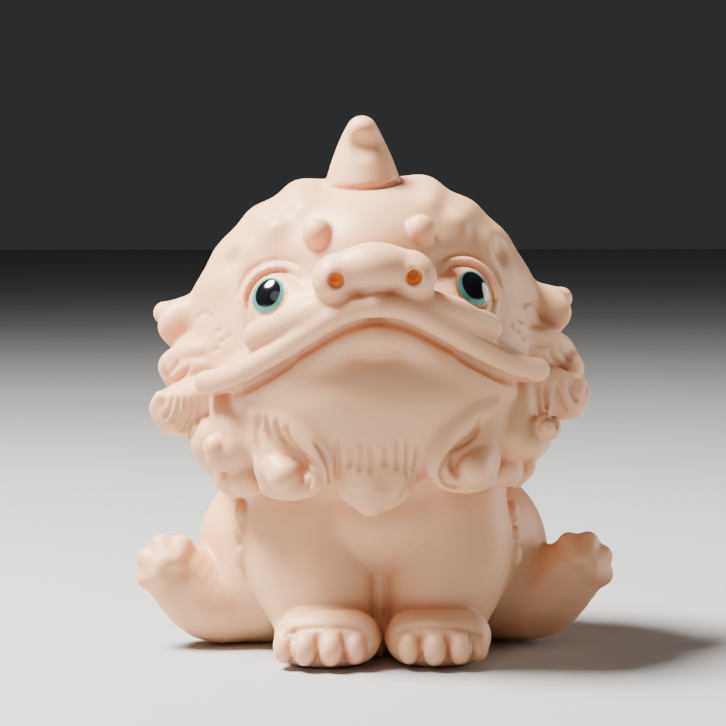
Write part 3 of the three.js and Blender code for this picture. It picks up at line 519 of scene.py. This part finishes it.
def locks(clay):
    """The locks of the mane beside the lip, the chin and the beard."""
    for side in SIDES:

        def add(points, radii, soft=0.6):
            clay.press(coil(mirrored(points, side), radii), soft, HEAD)

        def ball(x, y, z, radii, soft=0.3):
            clay.press(ellipsoid((side * x, y, z), radii), soft, HEAD)

        # The lock behind the ear's foot
        ball(26, -3.5, 19.2, (4.4, 5.5, 3.9), 2)
        outer = [(23, -10.5, 22.0), (27.5, -6.5, 21.0), (30.0, -3.4, 19.3), (29.6, -3.6, 17.2)]
        add(outer, [1.5, 1.7, 1.6, 1.3])
        add([(23.5, -11, 19.8), (27, -8, 19.0), (29, -6, 18.3)], [1.2, 1.3, 1.0])
        if side > 0:
            ball(30.2, -4.0, 16.6, (2.6, 3.4, 2.6), 1.2)
        # The lock that fans out from the corner of the lip
        add([(24.2, -11.2, 15.4), (26.8, -9.0, 14.0), (28.5, -7.4, 12.8)], [2.6, 3.4, 3.9], 1.5)
        add([(30.6, -8.0, 10.6), (32.0, -8.0, 13.0), (31.2, -9.0, 14.8)], [1.2, 1.1, 1.1], 0.8)
        clay.cut(ellipsoid((side * 31.0, -11.6, 14.0), (0.8, 1.4, 1.0)), 0.5, HEAD)
        # The thick lock under the corner of the lip, with a nub that turns out
        ball(23.6, -9, 8.4, (3.8, 6, 4.6), 1.2)
        add([(21.2, -12.6, 14.6), (20.4, -15.0, 11), (19.8, -16.0, 8.0)], [2.8, 3.6, 3.9], 1.0)
        add([(20.4, -16.6, 7.0), (22.6, -17.0, 6.6)], [2.9, 2.4], 0.4)
        nub = 2 + 0.15 * side
        ball(24.3 + 0.9 * side, -17.6, 8.5 + 0.5 * side, (nub, nub, nub))
        if side > 0:
            ball(24.7, -11.6, 12.3, (1.9, 1.9, 1.9), 1.6)
        # The lock beside the beard, rolled round a ball
        ball(12.8, -21.3, 5.4, (5.2, 3.4, 5.2), 1.0)
        sweep = [
            (17.5, -21.0, 13.0), (12.8, -23.6, 11.4), (9.2, -25.0, 8.2), (8.2, -25.0, 4.8),
            (9.6, -24.2, 2.6), (12.8, -23.4, 1.7), (16.2, -21.6, 1.9),
        ]
        add(sweep, [0.8, 1.7, 1.9, 1.8, 1.6, 1.4, 0.9], 1.2)
        add([(14.6, -22.8, 5.2), (13.7, -24.3, 4.0)], [2.4, 2.5], 0.3)
        # The smaller locks below and behind
        ball(18.6, -15.6, 2.9, (3.2, 3.4, 2.9), 0.8)
        add([(22, -13.5, 5.6), (22.6, -13.5, 2.8), (20.8, -14.4, 0.9)], [1.4, 1.3, 1.1])
        clay.press(ellipsoid((side * 17.5, -4, 6.5), (8.6, 11, 6.6)), 2.5, HEAD)


def back_curls(clay):
    """Rows of plain curls round the sides and back of the head."""
    rows = (
        (20.5, 23.0, 21.5, 5.2, (14, 40, 66, 90)),
        (11.5, 23.0, 21.0, 5.2, (2, 27, 53, 78)),
        (3.0, 19.0, 17.5, 4.6, (14, 40, 66, 90)),
    )
    for z, half_width, half_depth, radius, angles in rows:
        for side in SIDES:
            for angle in angles:
                if angle == 90 and side < 0:
                    continue
                a = math.radians(angle)
                out = unit((side * math.cos(a) / half_width, math.sin(a) / half_depth, 0))
                centre = np.array((side * half_width * math.cos(a), 2 + half_depth * math.sin(a), z))
                clay.press(ellipsoid(centre - 1.0 * out, (radius, radius, radius)), 1.0, HEAD)
                across = unit(np.cross((0, 0, 1), out))
                turn = spiral(centre + 2.6 * out, across, (0, 0, 1), radius * 0.62, 1.5, 1.3, 200, 1.6)
                clay.press(turn, 0.3, HEAD)


def trunk(clay):
    """The chest and the back."""
    clay.press(ellipsoid((0, -5, 21), (18.5, 12.8, 11)), 1, BODY)
    clay.press(ellipsoid((0, 8, 15), (19, 16.5, 17)), 5, BODY)


def forelegs(clay):
    """Stout forelegs that meet in a cleft, with small tufts behind each."""
    for side in SIDES:
        line = [(9.7, -7.0, 22), (9.9, -8.0, 15), (8.9, -10.6, 9.5), (8.1, -12.8, 5.6)]
        clay.press(coil(mirrored(line, side), [9.8, 10.1, 8.5, 6.7]), 0.6, BODY)
        clay.press(ellipsoid((side * 17.0, -1.5, 13), (5.0, 6, 10)), 3.0, BODY)
        for x, y, z, half in ((20.3, -5.2, 20.9, 1.8), (20.5, -5.8, 17.8, 1.2), (20.5, -7, 14.6, 1.9)):
            clay.press(ellipsoid((side * x, y, z), (1.3, 1.6, half)), 0.4, BODY)
    clay.press(ellipsoid((0, -9.5, 8), (1.6, 4.8, 9.5)), 0.8, BODY)


def outward(side):
    """How much further out the toes of one paw stand."""
    return 0.7 if side < 0 else 0.0


def paws(clay):
    """Front paws, each with a row of four round toes."""
    for side in SIDES:
        knuckles = [(4.3, -19.8, 4.3), (8.2, -20.6, 4.3), (11.9, -19.6, 4.3)]
        clay.press(coil(mirrored(knuckles, side), [4.0, 4.2, 4.0]), 1.0, BODY)
        clay.press(ellipsoid((side * 8.2, -15, 3.6), (7.4, 7, 4.6)), 1.5, BODY)
        for x, y, r in TOES:
            clay.press(ellipsoid((side * (x + outward(side)), y, 3.3), (r, 2.6, 2.5)), 0.2, BODY)


def haunches(clay):
    """The round haunches beside the body."""
    for side in SIDES:
        clay.press(ellipsoid((side * 16, 8, 12.8), (11.4, 13.5, 13.6)), 2.0, BODY)


def feet(clay):
    """Hind feet that splay out with their soles to the front, each with four toes and a pad."""
    for side in SIDES:
        line = [(18, 3.5, 7.5), (25.2, 1.2, 6.9), (30.9, 0.0, 11.8)]
        clay.press(coil(mirrored(line, side), [7.0, 6.2, 5.0]), 2.0, BODY)
        clay.cut(ellipsoid((side * 28.6, -9.2, 9.4), (8.0, 4.6, 4.6), tilt(-side * 45, 1)), 1.5, BODY)
        clay.press(ellipsoid((side * 27.6, -4.0, 8.0), (4.4, 1.2, 1.9), tilt(-side * 45, 1)), 0.8, BODY)
        for x, z in ((29.6, 15.6), (32.5, 15.7), (34.6, 13.6), (34.7, 10.8)):
            toe = [(x, -1.6, z), (31.3 + 0.45 * (x - 31.3), -4.0, 12.0 + 0.45 * (z - 12.0))]
            clay.press(coil(mirrored(toe, side), [1.75, 1.3]), 0.9, BODY)


def tail(clay):
    """A short tail of three locks that stand up behind."""
    clay.press(coil([(0, 22, 4), (0, 25, 10), (0, 24, 17)], [4.2, 4.6, 2.2]), 1.5, BODY)
    for side in SIDES:
        lock = [(2, 23, 6), (5.5, 24, 10), (6.5, 22.5, 14.5)]
        clay.press(coil(mirrored(lock, side), [3.2, 3.2, 1.6]), 0.6, BODY)


def front(clay, x, z, place):
    """How far back the first clay is at each place of the XZ plane, seen from the front."""
    depth = np.arange(FRONT_START, FRONT_END, FRONT_STEP)
    points = np.array([place.outside((a, y, b)) for a, b in zip(x, z) for y in depth])
    value = clay.sample(points).reshape(len(x), len(depth))
    first = np.argmax(value < 0, 1)
    before, after = value[range(len(x)), first - 1], value[range(len(x)), first]
    return depth[first - 1] + FRONT_STEP * before / np.maximum(before - after, 1e-6)


def engrave(clay, line, width, depth, place):
    """Draws a line on the front of the clay with a round tool, fading out at its ends."""
    x, z = np.array([p[0] for p in line], float), np.array([p[1] for p in line], float)
    y = front(clay, x, z, place)
    fade = np.minimum(1, 2.4 * np.sin(np.pi * np.linspace(0.06, 0.94, len(line))))
    radii = width * (0.4 + 0.6 * fade)
    y = y - radii + depth * fade
    clay.cut(coil(list(zip(x, y, z)), radii, 2), 0.25, place)


def fan_lines(clay):
    """The fine lines that run down the lock at the corner of the lip and fan out under its eye."""
    for side, strands in ((-1, range(5)), (1, range(0, 5, 2))):
        for k in strands:
            top, middle = (29.5 - 0.95 * k, 14.9), (29.9 - k, 13.3 - 0.5 * k)
            foot = (30.8 - 0.9 * k, 11.8 - 0.75 * k)
            engrave(clay, mirrored_flat([top, middle, foot], side), 0.42, 0.5, HEAD)
        outer = ((28.5, 20.0), (29.2, 19.1), (30.3, 18.0))
        inner = ((26.8, 19.5), (28.1, 17.8), (29.7, 16.5))
        for line in (outer, inner):
            engrave(clay, mirrored_flat(line, side), 0.4, 0.4, HEAD)


def mirrored_flat(line, side):
    """Points of the XZ plane on one side, on an even curve."""
    return [(side * p[0], p[1]) for p in smooth([(x, z) for x, z in line], 4)]


def side_lines(clay):
    """The strands that sweep round the balls beside the beard, and the circles on two locks."""
    strands = (
        [(15.9, 12.8), (15.8, 11.0), (15.0, 9.0), (13.2, 7.2), (10.8, 5.6), (9.9, 3.7), (10.3, 2.0)],
        [(14.5, 12.2), (14.2, 10.4), (13.0, 8.4), (11.0, 6.6), (9.3, 4.9), (9.0, 3.0)],
        [(13.0, 11.1), (12.7, 9.5), (11.5, 7.8), (9.6, 6.1), (8.3, 4.3), (8.1, 2.4)],
        [(9.1, 8.8), (7.9, 6.9), (7.2, 4.8), (7.1, 2.8)],
    )
    for line in strands:
        engrave(clay, mirrored_flat(line, -1), 0.4, 0.55, HEAD)
    broad = [(17.0, 12.8), (17.6, 10.6), (17.5, 8.0), (17.3, 6.0)]
    engrave(clay, mirrored_flat(broad, -1), 0.8, 0.25, HEAD)
    sweep = [(15.0, 11.3), (13.6, 8.6), (10.3, 6.5), (9.1, 4.5), (9.0, 3.4), (9.8, 1.9), (11.8, 1.6)]
    engrave(clay, mirrored_flat(sweep, 1), 0.5, 0.7, HEAD)
    for centre, radius in (((25.2, 9.2), 1.3), ((31.2, 13.7), 1.3)):
        engrave(clay, arc(centre, radius, -30, 250), 0.3, 0.35, HEAD)


def beard_lines(clay):
    """Upright cuts in the beard, each from its top to its foot."""
    cuts = (
        ((-6.1, 9.4), (-6.2, 3.6)), ((-4.2, 8.2), (-4.4, 5.0)), ((-2.7, 9.2), (-2.9, 4.2)),
        ((-1.2, 8.4), (-1.4, 4.0)), ((0.9, 8.0), (0.7, 5.2)), ((2.6, 9.0), (2.4, 4.4)),
        ((4.1, 8.6), (3.8, 3.6)), ((5.6, 7.4), (4.5, 1.8)), ((4.4, 3.6), (3.0, 0.4)),
    )
    for top, foot in cuts:
        middle = (0.5 * (top[0] + foot[0]) + 0.15, 0.5 * (top[1] + foot[1]))
        engrave(clay, mirrored_flat([top, middle, foot], 1), 0.34, 0.42, HEAD)


def face_lines(clay):
    """Nicks on the cheeks, a fold in each ear and over each lid, and the crease under the lip."""
    for side in SIDES:
        for x, z, run in ((22.4, 24.6, 1.0), (20.8, 24.0, 0.8), (22.0, 23.2, 1.1), (22.8, 22.0, 1.0)):
            line = [(side * (x - 0.5 * run), z + 0.1), (side * x, z), (side * (x + 0.5 * run), z - 0.35)]
            engrave(clay, line, 0.34, 0.4, HEAD)
        fold = [(23.2, 26.4), (23.9, 27.0), (25.0, 26.9), (25.6, 26.2)]
        engrave(clay, mirrored_flat(fold, side), 0.35, 0.2, HEAD)
        engrave(clay, [(side * x, z) for x, z in arc((EYE_X, EYE_Z), 6.1, 10, 118)], 0.5, 0.3, HEAD)
        under_lip = [(11.6, 21.0), (13.2, 19.8), (15.4, 18.5), (17.8, 17.2), (20.2, 16.1), (22.6, 15.5)]
        engrave(clay, mirrored_flat(under_lip, side), 0.9, 0.35, HEAD)


def toe_lines(clay):
    """The grooves between the toes of the front paws, and the one that runs over their tops."""
    for side in SIDES:
        for (a, _, _), (b, _, _) in zip(TOES, TOES[1:]):
            x = 0.5 * (a + b) + outward(side)
            engrave(clay, mirrored_flat([(x, 5.9), (x, 3.8), (x, 1.8)], side), 0.34, 0.4, BODY)
        over = [(1.4, 5.2), (3.8, 6.2), (7.4, 6.5), (11.0, 6.2), (13.8, 5.2)]
        over = [(x + outward(side), z) for x, z in over]
        engrave(clay, mirrored_flat(over, side), 0.4, 0.3, BODY)


def collar_line(clay):
    """The crease under the ring that the horn stands on."""
    engrave(clay, [(-6.3, 45.2), (-3, 44.8), (0, 44.8), (3, 45.0), (6.1, 45.7)], 0.45, 0.45, HEAD)


def eye_openings(clay):
    """Clears the clay of the cheek away in front of each iris."""
    for side in SIDES:
        lean = tilt(-side * math.degrees(EYE_LEAN), 1)
        clay.cut(ellipsoid((side * IRIS[0], -21.4, 29.6), (2.45, 6.0, 3.1), lean), 0.4, HEAD)
        clay.press(ellipsoid(eyeball_centre(side), [BALL_SIZE * EYE_RADIUS] * 3), 0.15, HEAD)


RELIEF = (eye_openings, fan_lines, side_lines, beard_lines, face_lines, toe_lines, collar_line)
HEAD_PARTS = (skull, brow, eyes, chin, muzzle, lip, beads, nose, ears, horn, beard, back_curls, locks)
BODY_PARTS = (trunk, forelegs, paws, haunches, feet, tail)


def sculpt():
    """All the clay, pressed and cut part by part."""
    clay = Clay(GRID_LOW, GRID_HIGH, GRID_STEP)
    for part in BODY_PARTS + HEAD_PARTS + RELIEF:
        part(clay)
    clay.level()
    return clay


def mesh_of(points, faces, name):
    """A Blender mesh in metres from points in millimetres and four-sided faces."""
    mesh = bpy.data.meshes.new(name)
    mesh.vertices.add(len(points))
    mesh.vertices.foreach_set("co", (points * MM).astype(np.float32).ravel())
    mesh.loops.add(faces.size)
    mesh.loops.foreach_set("vertex_index", faces.astype(np.int32).ravel())
    mesh.polygons.add(len(faces))
    mesh.polygons.foreach_set("loop_start", np.arange(0, faces.size, 4, dtype=np.int32))
    mesh.polygons.foreach_set("loop_total", np.full(len(faces), 4, np.int32))
    mesh.update(calc_edges=True)
    mesh.validate()
    return mesh


def thinned(mesh):
    """The same mesh with fewer triangles where it is smooth."""
    holder = bpy.data.objects.new("holder", mesh)
    bpy.context.scene.collection.objects.link(holder)
    triangles = sum(len(p.vertices) - 2 for p in mesh.polygons)
    thin = holder.modifiers.new("thin", "DECIMATE")
    thin.ratio = min(1.0, TRIANGLES / triangles)
    evaluated = holder.evaluated_get(bpy.context.evaluated_depsgraph_get())
    result = bpy.data.meshes.new_from_object(evaluated)
    bpy.data.objects.remove(holder)
    return result


def cavity(clay, points, normals, reach):
    """How closed in each point is: 0 in the open, 1 where clay comes back within the reach."""
    return np.clip(1 - clay.sample(points + reach * normals) / reach, 0, 1)


def figurine():
    """The clay as one piece, in the solid's own box."""
    clay = sculpt()
    mesh = thinned(mesh_of(*clay.surface(), "foo_dog_clay"))
    count = len(mesh.vertices)
    points, normals = np.empty(3 * count, np.float32), np.empty(3 * count, np.float32)
    mesh.vertices.foreach_get("co", points)
    mesh.vertex_normals.foreach_get("vector", normals)
    points, normals = points.reshape(-1, 3) / MM, normals.reshape(-1, 3)
    # How closed in the clay is at each point; the material paints shade and the nostrils' glow from these
    # values
    for name, reach in (("crease", CREASE_REACH), ("shade", SHADE_REACH)):
        layer = mesh.attributes.new(name, "FLOAT", "POINT")
        layer.data.foreach_set("value", cavity(clay, points, normals, reach).astype(np.float32))
    low, high = points.min(0), points.max(0)
    box_low, box_high = np.array(cad_box[0]) / MM + HAIR, np.array(cad_box[1]) / MM - HAIR
    scale = (box_high - box_low) / (high - low)
    shift = box_low - low * scale
    mesh.vertices.foreach_set("co", ((points * scale + shift) * MM).astype(np.float32).ravel())
    mesh.polygons.foreach_set("use_smooth", np.ones(len(mesh.polygons), bool))
    mesh.update()
    piece = bpy.data.objects.new("foo_dog_clay", mesh)
    bpy.context.scene.collection.objects.link(piece)
    mesh.materials.append(clay_material(shift))
    return piece


class Nodes:
    """Short ways to add the nodes of one material."""

    def __init__(self, material):
        material.use_nodes = True
        self.tree = material.node_tree
        self.shader = self.tree.nodes["Principled BSDF"]

    def add(self, kind, **settings):
        """A new node with its settings."""
        node = self.tree.nodes.new(kind)
        for name, value in settings.items():
            setattr(node, name, value)
        return node

    def feed(self, socket, value):
        """Sets a socket to a constant, or links it to another node's output."""
        if isinstance(value, bpy.types.NodeSocket):
            self.tree.links.new(value, socket)
        else:
            socket.default_value = value

    def math(self, operation, a, b):
        """One calculation with two values."""
        node = self.add("ShaderNodeMath", operation=operation)
        self.feed(node.inputs[0], a)
        self.feed(node.inputs[1], b)
        return node.outputs[0]

    def dot(self, vector, direction):
        """How far a vector reaches along a direction."""
        node = self.add("ShaderNodeVectorMath", operation="DOT_PRODUCT")
        self.feed(node.inputs[0], vector)
        self.feed(node.inputs[1], tuple(direction))
        return node.outputs["Value"]

    def step(self, value, low, high):
        """0 below one value and 1 above another, with an even change between."""
        node = self.add("ShaderNodeMapRange")
        node.interpolation_type = "SMOOTHSTEP"
        self.feed(node.inputs["Value"], value)
        self.feed(node.inputs["From Min"], low)
        self.feed(node.inputs["From Max"], high)
        return node.outputs["Result"]

    def mix(self, share, a, b):
        """A colour between two others."""
        node = self.add("ShaderNodeMix", data_type="RGBA")
        self.feed(node.inputs["Factor"], share)
        self.feed(node.inputs["A"], a)
        self.feed(node.inputs["B"], b)
        return node.outputs["Result"]

    def blend(self, share, a, b):
        """A value between two others."""
        node = self.add("ShaderNodeMix", data_type="FLOAT")
        self.feed(node.inputs["Factor"], share)
        self.feed(node.inputs["A"], a)
        self.feed(node.inputs["B"], b)
        return node.outputs["Result"]

    def attribute(self, name):
        """A value that the mesh holds at each point."""
        return self.add("ShaderNodeAttribute", attribute_name=name).outputs["Fac"]

    def noise(self, place, scale, detail=2.0):
        """A cloudy pattern between 0 and 1."""
        node = self.add("ShaderNodeTexNoise")
        self.feed(node.inputs["Vector"], place)
        self.feed(node.inputs["Scale"], scale)
        self.feed(node.inputs["Detail"], detail)
        return node.outputs["Fac"]


def oval(nodes, place, centre, halves, lean):
    """1 inside an oval that is seen from the front, 0 outside, with a soft painted edge."""
    c, s = math.cos(lean), math.sin(lean)
    offset = nodes.add("ShaderNodeVectorMath", operation="SUBTRACT")
    nodes.feed(offset.inputs[0], place)
    nodes.feed(offset.inputs[1], tuple(v * MM for v in centre))
    across = nodes.dot(offset.outputs[0], (c / halves[0] / MM, 0, -s / halves[0] / MM))
    along = nodes.dot(offset.outputs[0], (s / halves[1] / MM, 0, c / halves[1] / MM))
    squares = [nodes.math("MULTIPLY", v, v) for v in (across, along)]
    size = nodes.math("SQRT", nodes.math("ADD", *squares), 0.0)
    return nodes.step(size, 1.05, 0.95)


def within(nodes, place, centre, radius):
    """1 inside a ball and on its surface, 0 away from it."""
    gap = nodes.add("ShaderNodeVectorMath", operation="DISTANCE")
    nodes.feed(gap.inputs[0], place)
    nodes.feed(gap.inputs[1], tuple(v * MM for v in centre))
    return nodes.step(gap.outputs["Value"], (radius + 0.4) * MM, (radius + 0.2) * MM)


def painted(nodes, place, shift, side):
    """Where one side's nostril has its painted glow, and where the ring of its eye and its pupil are
    coloured.
    """

    def at(x, y, z):
        return HEAD.outside((side * x, y, z)) + shift

    lean = -side * EYE_LEAN - HEAD_LEAN
    deep = nodes.step(nodes.attribute("crease"), DEEP_FROM, DEEP_TO)
    nostril_glow = within(nodes, place, at(*NOSTRIL), NOSTRIL_REACH)
    eyeball_place = HEAD.outside(eyeball_centre(side)) + shift
    eyeball = within(nodes, place, eyeball_place, BALL_SIZE * EYE_RADIUS)
    iris = oval(nodes, place, at(*IRIS), IRIS_HALVES, lean)
    pupil = oval(nodes, place, at(*PUPIL), PUPIL_HALVES, lean)
    pairs = ((nostril_glow, deep), (iris, eyeball), (pupil, eyeball))
    return [nodes.math("MULTIPLY", *pair) for pair in pairs]


def grain(nodes, place):
    """The fine grain of the clay, as a bump of the surface."""
    bump = nodes.add("ShaderNodeBump")
    bump.inputs["Strength"].default_value = GRAIN_STRENGTH
    bump.inputs["Distance"].default_value = GRAIN_HEIGHT * MM
    nodes.feed(bump.inputs["Height"], nodes.noise(place, GRAIN_SCALE))
    return bump.outputs["Normal"]


def clay_material(shift):
    """Satin unglazed clay with painted shade, darker and warmer in its hollows and creases, with the eyes
    painted on in glossy glaze and a painted glow in the nostrils.

    shift is how far the finished mesh lies from where the clay was modelled.
    """
    material = bpy.data.materials.new("clay")
    nodes = Nodes(material)
    place = nodes.add("ShaderNodeTexCoord").outputs["Object"]
    mottle = nodes.noise(place, MOTTLE_SCALE, MOTTLE_DETAIL)
    colour = nodes.mix(mottle, CLAY_LIGHT, CLAY_DARK)
    # Painted shade: darker, warmer colour where the clay is closed in
    hollows = (("shade", SHADE_SHARE, CLAY_SHADE), ("crease", CREASE_SHADE_SHARE, CREASE_SHADE_COLOUR))
    for name, share, shade_colour in hollows:
        colour = nodes.mix(nodes.math("MULTIPLY", nodes.attribute(name), share), colour, shade_colour)
    rough = nodes.blend(mottle, ROUGH_LIGHT, ROUGH_DARK)
    nostril_glows, rings = [], []
    for side in SIDES:
        nostril_glow, ring, pupil = painted(nodes, place, shift, side)
        # The orange of the nostrils is painted glow; the teal and black are the eyes' own glaze
        for mask, paint in ((nostril_glow, NOSTRIL_GLOW), (ring, TEAL), (pupil, BLACK)):
            colour = nodes.mix(mask, colour, paint)
        rough = nodes.blend(ring, rough, GLAZE_ROUGHNESS)
        nostril_glows.append(nostril_glow)
        rings.append(ring)
    eye = nodes.math("MAXIMUM", *rings)
    glow = nodes.math("MAXIMUM", *nostril_glows)
    sockets = nodes.shader.inputs
    nodes.feed(sockets["Base Color"], colour)
    nodes.feed(sockets["Roughness"], rough)
    nodes.feed(sockets["Subsurface Weight"], nodes.blend(eye, SUBSURFACE, 0.0))
    sockets["Subsurface Radius"].default_value = SUBSURFACE_RADIUS
    sockets["Subsurface Scale"].default_value = SUBSURFACE_SCALE * MM
    nodes.feed(sockets["Coat Weight"], nodes.math("MULTIPLY", eye, COAT))
    sockets["Coat Roughness"].default_value = COAT_ROUGHNESS
    # Painted glow: the nostrils give off orange light though they are no lamp
    sockets["Emission Color"].default_value = NOSTRIL_GLOW
    nodes.feed(sockets["Emission Strength"], nodes.math("MULTIPLY", glow, GLOW))
    nodes.feed(sockets["Normal"], grain(nodes, place))
    return material


def camera():
    """The camera, at the photograph's viewing angle."""
    target = Vector(CAMERA_TARGET) * MM
    level = math.cos(CAMERA_ELEVATION)
    back = Vector(
        (math.sin(CAMERA_AZIMUTH) * level, -math.cos(CAMERA_AZIMUTH) * level, math.sin(CAMERA_ELEVATION))
    )
    data = bpy.data.cameras.new("camera")
    data.sensor_width = SENSOR_WIDTH
    data.lens = SENSOR_WIDTH * PIXELS_PER_MM * CAMERA_DISTANCE / IMAGE_WIDTH
    data.clip_start, data.clip_end = 0.01, 20
    cam = bpy.data.objects.new("camera", data)
    cam.location = target + back * (CAMERA_DISTANCE * MM)
    cam.rotation_mode = "QUATERNION"
    cam.rotation_quaternion = (-back).to_track_quat("-Z", "Y")
    bpy.context.scene.collection.objects.link(cam)
    bpy.context.scene.camera = cam


def light(name, place, size, power, colour):
    """One round soft lamp, turned to the figurine."""
    data = bpy.data.lights.new(name, "AREA")
    data.shape, data.size, data.energy, data.color = "DISK", size, power, colour
    lamp = bpy.data.objects.new(name, data)
    lamp.location = place
    lamp.rotation_mode = "QUATERNION"
    lamp.rotation_quaternion = (Vector(LAMP_TARGET) - Vector(place)).to_track_quat("-Z", "Y")
    bpy.context.scene.collection.objects.link(lamp)


def floor():
    """The plain pale floor."""
    mesh = bpy.data.meshes.new("floor")
    h = FLOOR_HALF
    mesh.from_pydata([(-h, -h, 0), (h, -h, 0), (h, h, 0), (-h, h, 0)], [], [(0, 1, 2, 3)])
    material = bpy.data.materials.new("floor")
    shader = Nodes(material).shader
    shader.inputs["Base Color"].default_value = FLOOR_COLOUR
    shader.inputs["Roughness"].default_value = FLOOR_ROUGHNESS
    mesh.materials.append(material)
    plane = bpy.data.objects.new("floor", mesh)
    bpy.context.scene.collection.objects.link(plane)


def studio():
    """The floor, a dim even surround and the lamps."""
    floor()
    world = bpy.data.worlds.new("studio")
    world.use_nodes = True
    background = world.node_tree.nodes["Background"]
    background.inputs["Color"].default_value = WORLD_COLOUR
    background.inputs["Strength"].default_value = WORLD_STRENGTH
    bpy.context.scene.world = world
    for lamp in LAMPS:
        light(*lamp)


camera()
studio()
dog = figurine()
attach(dog, "root")
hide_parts("foo_dog")
